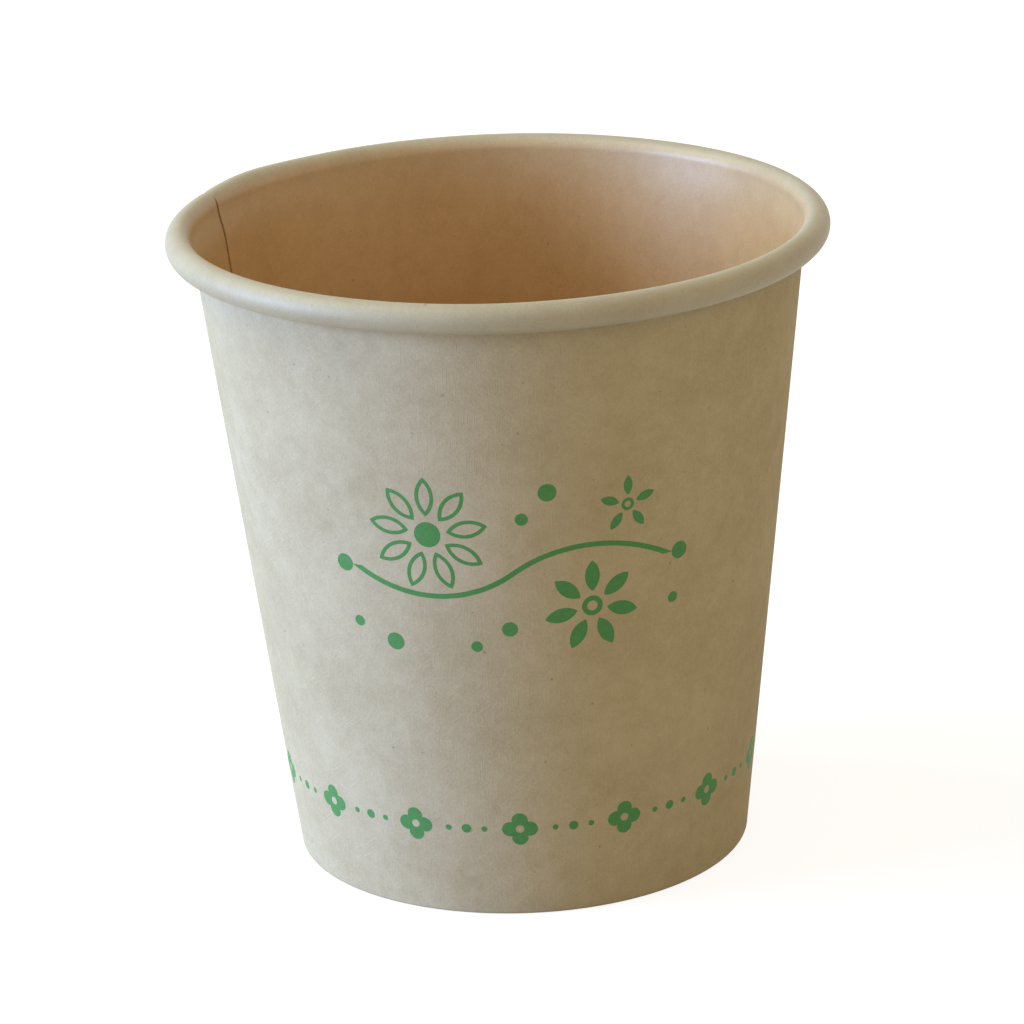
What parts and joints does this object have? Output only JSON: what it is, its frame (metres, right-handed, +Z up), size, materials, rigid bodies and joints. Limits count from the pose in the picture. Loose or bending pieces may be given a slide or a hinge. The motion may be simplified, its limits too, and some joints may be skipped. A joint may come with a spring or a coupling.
{
  "type": "bamboo paper cup",
  "caption": "Small disposable hot-drink cup of bamboo-fibre paper: tapered lined wall, rolled rim, lapped side seam, recessed base, green floral print.",
  "frame": {"origin": "centre of the foot ring, on the surface that the cup stands on", "axes": "+Z up along the cup's axis; the front print faces -Y; the side seam is at the back left, with its inner raw edge 158 degrees anticlockwise from +X"},
  "size_m": [0.062, 0.062, 0.0614],
  "materials": {
    "bamboo_board": "matte",
    "lining_film": "satin",
    "green_ink": "matte"
  },
  "bodies": {
    "root": {"side_wall": "bamboo_board", "wall_lining": "lining_film", "base_disc": "bamboo_board", "base_lining": "lining_film", "flower_print": "green_ink", "band_print": "green_ink"}
  },
  "joints": []
}
